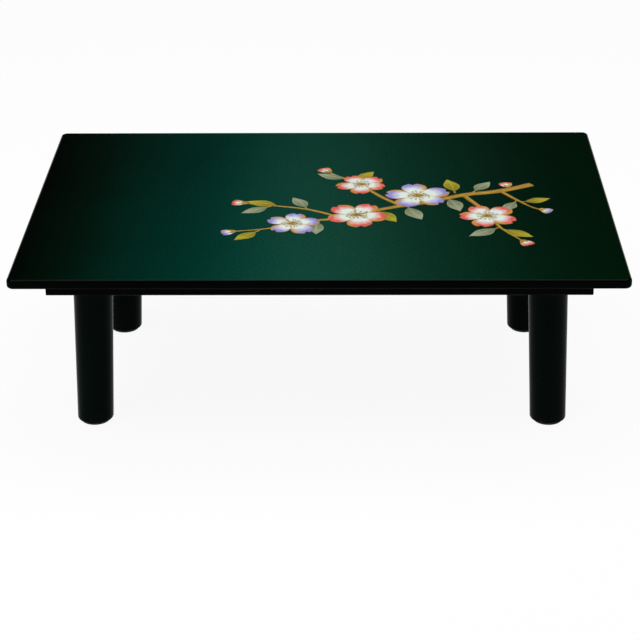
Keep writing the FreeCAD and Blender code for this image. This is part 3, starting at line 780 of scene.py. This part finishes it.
def lay_buds(petal, leaf, petals, sepals):
    """Furled petals held in a cup of two narrow sepals."""
    for x, y, degrees, length, tint in BUDS:
        foot = beyond(x, y, degrees, BUD_STALK)
        turn = math.radians(degrees - 90)
        size = (BUD_PETAL_WIDTH * length * MM, length * MM, length * MM)
        for lean, lift in BUD_PETALS:
            petals[tint].append(copy_of(petal, at(*foot, lift), (0, 0, turn + lean), size))
        size = (SEPAL_SIZE * length * MM, SEPAL_SIZE * length * MM, length * MM)
        for lean in SEPAL_LEANS:
            sepals.append(copy_of(leaf, at(*foot, SEPAL_LIFT), (0, 0, turn + lean), size))


def stalk_route(x, y, degrees, length, reach, bow, widths):
    """From a twig, bowed to one side on the way, to a leaf or bud; places and half widths in mm."""
    places = ((x, y), beyond(x, y, degrees + bow, STALK_BOWED_AT * length), beyond(x, y, degrees, reach))
    return [(*place, width) for place, width in zip(places, widths)]


def draw_boughs():
    """Tapered strokes for boughs, twigs and stalks, made a mesh and pressed nearly flat."""
    bpy.ops.curve.primitive_nurbs_path_add()
    boughs = latest()
    strokes = boughs.data
    strokes.splines.clear()
    strokes.dimensions = "3D"
    strokes.bevel_depth = MM
    strokes.bevel_resolution = 3
    strokes.resolution_u = 8
    strokes.use_fill_caps = True
    routes = list(BOUGHS)
    for x, y, degrees, _, _ in LEAVES:
        reach = LEAF_STALK + UNDER_LEAF
        routes.append(stalk_route(x, y, degrees, LEAF_STALK, reach, LEAF_STALK_BOW, LEAF_STALK_WIDTHS))
    for x, y, degrees, length, _ in BUDS:
        reach = BUD_STALK + INTO_BUD * length
        routes.append(stalk_route(x, y, degrees, BUD_STALK, reach, BUD_STALK_BOW, BUD_STALK_WIDTHS))
    for route in routes:
        stroke = strokes.splines.new("NURBS")
        stroke.points.add(len(route) - 1)
        for point, (x, y, half_width) in zip(stroke.points, route):
            point.co = (x * MM, y * MM, 0, 1)
            point.radius = half_width
        stroke.order_u = 3
        stroke.use_endpoint_u = True
    hold(boughs)
    bpy.ops.object.convert(target="MESH")
    boughs = latest()
    boughs.location = (0, 0, BOARD_TOP)
    boughs.scale = (1, 1, STROKE_FLATNESS)
    settle(boughs)
    face_outward(boughs)
    smooth(boughs, degrees=60)
    label(boughs, "picture_boughs")
    return boughs


def add_picture():
    chance = random.Random(PICTURE_SEED)
    petal, leaf, heart, stamen = model_petal(), model_leaf(), model_heart(), model_stamen()
    petals, hearts = lay_blossoms(petal, heart, stamen, chance)
    leaves = lay_leaves(leaf)
    lay_buds(petal, leaf, petals, hearts)
    discard(petal, leaf, heart, stamen)
    for tint, pieces in petals.items():
        made = join(pieces, f"picture_petals_{tint}")
        paint(made, petal_lacquer(f"{tint}_petal_lacquer", TINTS[tint]))
        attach(made, "table_body")
    made = join(hearts, "picture_hearts")
    paint(made, heart_lacquer())
    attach(made, "table_body")
    for tone, pieces in leaves.items():
        made = join(pieces, f"picture_leaves_{tone}")
        paint(made, leaf_lacquer(f"{tone}_leaf_lacquer", *TONES[tone]))
        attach(made, "table_body")
    boughs = draw_boughs()
    paint(boughs, gold_lacquer_and_painted_highlight())
    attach(boughs, "table_body")


# The leaf springs, which prop the open legs; on the table they are pressed flat between the board and the
# folded ones, but here they keep their open shape

# lengths along the spring are from the leg's pivot
SPRING_WIDTH = 16 * MM
SPRING_THICKNESS = 0.8 * MM
SPRING_FAR = 112 * MM
SPRING_BEND = 84 * MM
BEND_RADIUS = 6.8 * MM
BEND_STEPS = 6
SPRING_TIP = 19.2 * MM
TIP_DROP = 8 * MM
SPRING_CUTS = 7
SPRING_EDGE = 0.18 * MM
SEAT_CORNER = 1.9 * MM
LEG_ROOM = 20.3 * MM


def spring_path(seat_height, slope):
    """Where the strip bends away from its seat and slopes down to its tip: places along and up."""
    tangent = BEND_RADIUS * math.tan(slope / 2)
    path = [(SPRING_BEND + tangent, seat_height)]
    for step in range(1, BEND_STEPS + 1):
        angle = slope * step / BEND_STEPS
        path.append((
            SPRING_BEND + tangent - BEND_RADIUS * math.sin(angle),
            seat_height - BEND_RADIUS * (1 - math.cos(angle)),
        ))
    bend_x, bend_z = path[-1]
    for share in (0.25, 0.5, 0.75, 1.0):
        path.append((bend_x + share * (SPRING_TIP - bend_x), bend_z + share * (-TIP_DROP - bend_z)))
    return path


def model_spring():
    """A strip drawn out from its seat, round the bend and down to a hollowed tip; the pivot is at zero."""
    seat_height = BOARD_UNDERSIDE - PIVOTS["front_left"].z
    slope = math.atan2(seat_height + TIP_DROP, SPRING_BEND - SPRING_TIP)
    path = spring_path(seat_height, slope)
    bpy.ops.mesh.primitive_plane_add(size=1)
    spring = latest()
    seat_length = SPRING_FAR - path[0][0]
    spring.scale = (seat_length, SPRING_WIDTH, 1)
    spring.location = (path[0][0] + seat_length / 2, 0, seat_height)
    settle(spring)
    start_shaping()
    for (x, z), (next_x, next_z) in zip(path, path[1:]):
        pick(spring, lambda place: abs(place.x - x) < NEAR and abs(place.z - z) < NEAR)
        draw_out((next_x - x, 0, next_z - z))
    bpy.ops.mesh.select_all(action="DESELECT")
    cage = bmesh.from_edit_mesh(spring.data)
    for edge in cage.edges:
        edge.select_set(abs(edge.verts[0].co.y - edge.verts[1].co.y) > 0.9 * SPRING_WIDTH)
    bmesh.update_edit_mesh(spring.data)
    bpy.ops.mesh.subdivide(number_cuts=SPRING_CUTS)
    stop_shaping()
    hollow_tip(spring, slope)
    round_seat(spring)
    apply_modifier(spring, "SOLIDIFY", thickness=SPRING_THICKNESS, offset=0)
    settle(spring)
    face_outward(spring)
    start_shaping()
    pick_all()
    bpy.ops.transform.translate(value=(0, 0, -SPRING_THICKNESS / 2))
    stop_shaping()
    sharp = math.radians(50)
    apply_modifier(spring, "BEVEL", width=SPRING_EDGE, segments=2, limit_method="ANGLE", angle_limit=sharp)
    smooth(spring, degrees=40)
    return spring


def hollow_tip(spring, slope):
    """Slides the points of the tip back up the slope until they clear the round leg."""
    start_shaping()
    points = bmesh.from_edit_mesh(spring.data).verts
    tips = [point.co.copy() for point in points if abs(point.co.x - SPRING_TIP) < NEAR]
    for tip in tips:
        clear = math.sqrt(LEG_ROOM ** 2 - tip.y ** 2) - SPRING_TIP
        if clear > 0:
            pick(spring, lambda place: (place - tip).length < NEAR)
            bpy.ops.transform.translate(value=(clear, 0, clear * math.tan(slope)))
    stop_shaping()


def round_seat(spring):
    start_shaping()
    pick(spring, lambda place: place.x > SPRING_FAR - NEAR and abs(abs(place.y) - SPRING_WIDTH / 2) < NEAR)
    bpy.ops.mesh.bevel(offset=SEAT_CORNER, segments=4, affect="VERTICES")
    stop_shaping()


def add_springs():
    pattern = model_spring()
    steel = blued_spring_steel()
    for corner, side in SIDES.items():
        turn = math.pi if side > 0 else 0.0
        spring = copy_of(pattern, PIVOTS[corner], (0, 0, turn))
        label(spring, f"{corner}_leaf_spring")
        paint(spring, steel)
        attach(spring, "table_body")
        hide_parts(f"{corner}_lock_spring")
        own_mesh(spring)
    discard(pattern)


# The screws, each with a cross recess

# in mm: the bracket's plate, how far a screw bites into the board, and arm and depth of the crosses
PLATE = 2
SCREW_BITE = 7
FLAT_CROSS = (2.2, 1.2)
ROUND_CROSS = (1.8, 1.1)
ROUND_HEAD = 2

# a cross's arm width as a share of its length, and its size at the bottom as a share of that on top
CROSS_ARM_WIDTH = 0.32
CROSS_TAPER = 0.55

# places: two ways from the pivot, along the spring from the pivot, and in from a rail's ends
HINGE_SCREW_X, HINGE_SCREW_Y = 16, 23
SPRING_SCREWS = (91, 105)
RAIL_SCREW_MARGIN = 60 * MM
SCREW_SEED = 23


def flat_screw_rings(length):
    """Countersunk head, shank and point."""
    return [(3.3, 0), (3.5, 0.12), (1.75, 1.87), (1.75, length - 3.5), (0.25, length)]


def round_screw_rings(length):
    """Domed head, shank and point."""
    head = [(0.9, -ROUND_HEAD), (1.9, -1.85), (2.6, -1.45), (3.0, -0.75), (3.0, 0)]
    return head + [(1.5, 0.01), (1.5, length - 3), (0.25, length)]


def model_screw(rings):
    """A turned screw, point up, drawn ring by ring from its head; rings are (radius, height) in mm."""
    radius, height = rings[0]
    bpy.ops.mesh.primitive_circle_add(
        vertices=32, radius=radius * MM, fill_type="NGON", location=(0, 0, height * MM)
    )
    screw = latest()
    settle(screw)
    start_shaping()
    pick_all()
    for (wide, low), (next_wide, high) in zip(rings, rings[1:]):
        draw_out((0, 0, (high - low) * MM))
        bpy.ops.transform.resize(value=(next_wide / wide, next_wide / wide, 1), center_override=(0, 0, 0))
    stop_shaping()
    face_outward(screw)
    return screw


def cut_cross(screw, head_height, arm, depth):
    """Sinks a tapered cross into the head with a cutter that is thrown away afterward."""
    bpy.ops.mesh.primitive_cube_add(size=1, location=(0, 0, head_height * MM))
    cutter = latest()
    half_width = CROSS_ARM_WIDTH * arm * MM / 2
    cutter.scale = (2 * half_width, 2 * half_width, 2 * depth * MM)
    settle(cutter)
    start_shaping()
    for way in map(Vector, ((1, 0, 0), (-1, 0, 0), (0, 1, 0), (0, -1, 0))):
        pick(cutter, lambda place: (place.xy - half_width * way.xy).length < half_width + NEAR)
        draw_out(way * (arm * MM - half_width))
    pick(cutter, lambda place: place.z > head_height * MM)
    bpy.ops.transform.resize(value=(CROSS_TAPER, CROSS_TAPER, 1), center_override=(0, 0, head_height * MM))
    stop_shaping()
    apply_modifier(screw, "BOOLEAN", operation="DIFFERENCE", object=cutter, solver="EXACT")
    discard(cutter)
    smooth(screw, degrees=35)


def scatter(pattern, places, height, name, node):
    """Copies a screw to its places, each turned by chance, as one group."""
    chance = random.Random(SCREW_SEED)
    copies = [copy_of(pattern, (x, y, height), (0, 0, chance.uniform(0, math.pi))) for x, y in places]
    group = join(copies, name)
    discard(pattern)
    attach(group, "table_body")
    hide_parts(node)
    return group


def corner_places():
    """Four round each hinge and two in each spring's seat."""
    hinge_places = []
    spring_places = []
    for corner, side in SIDES.items():
        pivot = PIVOTS[corner]
        for along, across in ((-1, -1), (-1, 1), (1, -1), (1, 1)):
            x = pivot.x + along * HINGE_SCREW_X * MM
            hinge_places.append((x, pivot.y + across * HINGE_SCREW_Y * MM))
        spring_places += [(pivot.x - side * reach * MM, pivot.y) for reach in SPRING_SCREWS]
    return hinge_places, spring_places


def rail_places():
    """Four along each long rail and two along each end rail."""
    (front_low, front_high), (left_low, left_high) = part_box("front_rail"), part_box("left_rail")
    rail_y = (front_low.y + front_high.y) / 2
    rail_x = (left_low.x + left_high.x) / 2
    along = front_high.x - RAIL_SCREW_MARGIN
    across = left_high.y - RAIL_SCREW_MARGIN
    places = [(share * along, side * rail_y) for side in (1, -1) for share in (-1, -1 / 3, 1 / 3, 1)]
    return places + [(side * rail_x, share * across) for side in (1, -1) for share in (-1, 1)]


def add_screws():
    zinc = black_zinc()
    rail = BOARD_UNDERSIDE / MM - RAIL_UNDERSIDE / MM
    hinge_places, spring_places = corner_places()
    for name, passes, places in (("hinge", PLATE, hinge_places), ("rail", rail, rail_places())):
        pattern = model_screw(flat_screw_rings(passes + SCREW_BITE))
        cut_cross(pattern, 0, *FLAT_CROSS)
        height = BOARD_UNDERSIDE - passes * MM
        group = scatter(pattern, places, height, f"{name}_screw_set", f"{name}_screws")
        paint(group, zinc)
    pattern = model_screw(round_screw_rings(SPRING_THICKNESS / MM + SCREW_BITE))
    cut_cross(pattern, -ROUND_HEAD, *ROUND_CROSS)
    height = BOARD_UNDERSIDE - SPRING_THICKNESS
    group = scatter(pattern, spring_places, height, "spring_screw_set", "spring_screws")
    paint(group, zinc)


# The felt discs under the feet

FELT_ROUNDING = 0.45 * MM
FELT_RINGS = (3 * MM, 4 * MM)
FLUFF_SIZE, FLUFF_DEPTH, FLUFF_LEVEL = 0.9 * MM, 0.25 * MM, 0.9
FLAT_MARGIN, RIM_DEPTH = 0.3 * MM, 0.2 * MM
FELT_SEED = 5


def model_felt_disc(width, thickness):
    """A cut disc of felt, softened at its rim and slightly uneven."""
    radius = width / 2
    bpy.ops.mesh.primitive_cylinder_add(vertices=72, radius=radius, depth=thickness, end_fill_type="NGON")
    disc = latest()
    start_shaping()
    pick_all()
    bpy.ops.mesh.bevel(offset=FELT_ROUNDING, segments=3, affect="EDGES")
    flat_radius = radius - FLAT_MARGIN
    for face in (-thickness / 2, thickness / 2):
        pick(disc, lambda place: abs(place.z - face) < NEAR and place.xy.length < flat_radius)
        for ring in FELT_RINGS:
            bpy.ops.mesh.inset(thickness=ring)
    stop_shaping()
    face_outward(disc)
    fluff = bpy.data.textures.new("felt_fluff", "CLOUDS")
    fluff.noise_scale = FLUFF_SIZE
    rim = disc.vertex_groups.new(name="rim")
    rim_points = [point.index for point in disc.data.vertices if point.co.xy.length > radius - RIM_DEPTH]
    rim.add(rim_points, 1.0, "ADD")
    apply_modifier(
        disc, "DISPLACE", texture=fluff, strength=FLUFF_DEPTH, mid_level=FLUFF_LEVEL, vertex_group="rim"
    )
    smooth(disc, degrees=60)
    return disc


def add_felt_discs():
    felt = pressed_felt()
    low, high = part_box("front_left_foot_pad")
    pattern = model_felt_disc(high.x - low.x, high.z - low.z)
    chance = random.Random(FELT_SEED)
    for corner in SIDES:
        low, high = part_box(f"{corner}_foot_pad")
        disc = copy_of(pattern, (low + high) / 2, (0, 0, chance.uniform(0, 6)))
        label(disc, f"{corner}_felt_disc")
        paint(disc, felt)
        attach(disc, f"{corner}_leg_body")
        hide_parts(f"{corner}_foot_pad")
    discard(pattern)


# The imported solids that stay

def finish_solids():
    paint(frame["nodes"]["top_board"], green_top_lacquer_and_painted_highlight())
    rail = black_rail_lacquer()
    for name in RAILS:
        paint(frame["nodes"][name], rail)
    leg, bracket, rivet = black_leg_lacquer(), bracket_paint(), rivet_steel()
    for corner in SIDES:
        paint(frame["nodes"][f"{corner}_leg"], leg)
        paint(frame["nodes"][f"{corner}_hinge_bracket"], bracket)
        paint(frame["nodes"][f"{corner}_hinge_pin"], rivet)


# Floor, light and camera

FLOOR_SIZE = 30
FLOOR_DROP = 0.2 * MM
WALL_RADIUS = 14
WALL_HEIGHT = 2.6
PALE = (0.9, 0.9, 0.9, 1)
WHITE = (1, 1, 1, 1)
DIM = (0.03, 0.03, 0.03, 1)

# how white the floor is to the eye; the rest takes the shadow
FLOOR_WHITENESS = 0.93

# rays less steep than this still see white
WHITE_BELOW_SLOPE = 0.15

# place, aim, width and height in metres, and power in watts
LAMPS = {
    "overhead": ((0, -0.2, 2.6), (0, 0, 0), 3.4, 3.0, 90),
    "front_left": ((-1.5, -1.7, 2.4), (0, 0, 0.1), 1.2, 1.4, 18),
}

CAMERA_PLACE = (0.0347, -1.9856, 0.9824)
PITCH, YAW, ROLL = (math.radians(degrees) for degrees in (24.895, -1.0765, -0.490))
CAMERA_LENS, CAMERA_SENSOR = 114.30, 36
CAMERA_FAR_END = 60


def seen_share(tree):
    """One for a ray that shows a thing to the eye, straight, in a gloss or through glass."""
    rays = add_node(tree, "ShaderNodeLightPath").outputs
    seen = reckon(tree, "MAXIMUM", rays["Is Camera Ray"], rays["Is Glossy Ray"])
    return reckon(tree, "MAXIMUM", seen, rays["Is Transmission Ray"])


def pale_paint():
    """White to the eye and in reflections, still takes a shadow, and is clear from behind."""
    pale = bpy.data.materials.new("pale_paint")
    pale.use_nodes = True
    tree = pale.node_tree
    tree.nodes.clear()
    matte = add_node(tree, "ShaderNodeBsdfDiffuse", {"Color": PALE}).outputs[0]
    glow = add_node(tree, "ShaderNodeEmission", {"Color": WHITE}).outputs[0]
    clear = add_node(tree, "ShaderNodeBsdfTransparent").outputs[0]
    share = reckon(tree, "MULTIPLY", seen_share(tree), FLOOR_WHITENESS)
    above = add_node(tree, "ShaderNodeMixShader", {0: share, 1: matte, 2: glow}).outputs[0]
    behind = add_node(tree, "ShaderNodeNewGeometry").outputs["Backfacing"]
    both = add_node(tree, "ShaderNodeMixShader", {0: behind, 1: above, 2: clear}).outputs[0]
    add_node(tree, "ShaderNodeOutputMaterial", {"Surface": both})
    return pale


def add_room():
    """A pale floor and a low wall far round it; both face the table."""
    pale = pale_paint()
    bpy.ops.mesh.primitive_plane_add(size=FLOOR_SIZE, location=(0, 0, -FLOOR_DROP))
    floor = latest()
    floor.name = "floor"
    bpy.ops.mesh.primitive_cylinder_add(
        vertices=96, radius=WALL_RADIUS, depth=WALL_HEIGHT, location=(0, 0, WALL_HEIGHT / 2),
        end_fill_type="NOTHING",
    )
    wall = latest()
    wall.name = "far_wall"
    start_shaping()
    pick_all()
    bpy.ops.mesh.flip_normals()
    stop_shaping()
    smooth(wall, degrees=30)
    for stage in (floor, wall):
        stage.data.materials.append(pale)


def add_world():
    """A dim room. Below the wall's top, and where it is seen through the floor from below, it is white."""
    world = bpy.data.worlds.new("dim_room")
    world.use_nodes = True
    tree = world.node_tree
    dim = tree.nodes["Background"]
    dim.inputs["Color"].default_value = DIM
    white = add_node(tree, "ShaderNodeBackground", {"Color": WHITE}).outputs[0]
    direction = add_node(tree, "ShaderNodeTexCoord").outputs["Generated"]
    slope = add_node(tree, "ShaderNodeSeparateXYZ", {0: direction}).outputs["Z"]
    passed = add_node(tree, "ShaderNodeLightPath").outputs["Transparent Depth"]
    through_floor = reckon(tree, "GREATER_THAN", passed, 0.5)
    low_down = reckon(tree, "LESS_THAN", slope, WHITE_BELOW_SLOPE)
    share = reckon(tree, "MULTIPLY", seen_share(tree), reckon(tree, "MAXIMUM", through_floor, low_down))
    both = add_node(tree, "ShaderNodeMixShader", {0: share, 1: dim.outputs[0], 2: white}).outputs[0]
    feed(tree, tree.nodes["World Output"].inputs["Surface"], both)
    scene.world = world


def add_lights():
    for name, (place, aim, width, height, power) in LAMPS.items():
        bpy.ops.object.light_add(type="AREA", location=place)
        lamp = latest()
        lamp.name = name
        lamp.data.shape = "RECTANGLE"
        lamp.data.size = width
        lamp.data.size_y = height
        lamp.data.energy = power
        lamp.rotation_euler = (Vector(aim) - Vector(place)).to_track_quat("-Z", "Y").to_euler()


def add_camera():
    """The eye stands in front, a little right of the middle, and looks down on the table."""
    level = math.cos(PITCH)
    ahead = Vector((math.sin(YAW) * level, math.cos(YAW) * level, -math.sin(PITCH)))
    right = Vector((math.cos(YAW), -math.sin(YAW), 0))
    up = right.cross(ahead)
    across = right * math.cos(ROLL) + up * math.sin(ROLL)
    upward = up * math.cos(ROLL) - right * math.sin(ROLL)
    bpy.ops.object.camera_add()
    camera = latest()
    camera.data.lens = CAMERA_LENS
    camera.data.sensor_width = CAMERA_SENSOR
    camera.data.clip_end = CAMERA_FAR_END
    axes = Matrix((across, upward, -ahead)).transposed().to_4x4()
    axes.translation = CAMERA_PLACE
    camera.matrix_world = axes
    scene.camera = camera


finish_solids()
add_picture()
add_springs()
add_screws()
add_felt_discs()
add_room()
add_world()
add_lights()
add_camera()
clear_selection()
